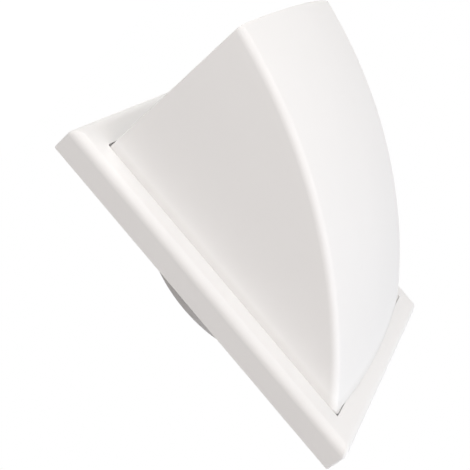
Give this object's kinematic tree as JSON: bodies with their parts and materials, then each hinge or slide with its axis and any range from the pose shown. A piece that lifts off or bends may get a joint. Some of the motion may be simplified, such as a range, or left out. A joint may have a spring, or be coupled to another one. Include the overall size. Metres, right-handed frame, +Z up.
{
  "type": "exterior vent cover",
  "caption": "Square white wall vent cover with a curved hood that opens downwards, a round duct spigot behind and a hinged back-draught flap inside.",
  "frame": {"origin": "on the duct's axis, in the plane of the wall", "axes": "+X right seen from outside, +Y into the wall along the duct, +Z up"},
  "size_m": [0.19, 0.1311, 0.19],
  "materials": {
    "frame_plastic": "white moulded plastic, satin",
    "hood_plastic": "white moulded plastic, satin",
    "flap_plastic": "white moulded plastic, satin"
  },
  "bodies": {
    "cover": {"wall_frame": "frame_plastic", "cowl_hood": "hood_plastic"},
    "flap": {"backdraught_flap": "flap_plastic"}
  },
  "joints": [
    {"name": "flap_hinge", "type": "hinge", "parent": "cover", "child": "flap", "pos_m": [0, -0.0053, 0.05445], "axis": [-1, 0, 0], "range_deg": [0, 42]}
  ]
}
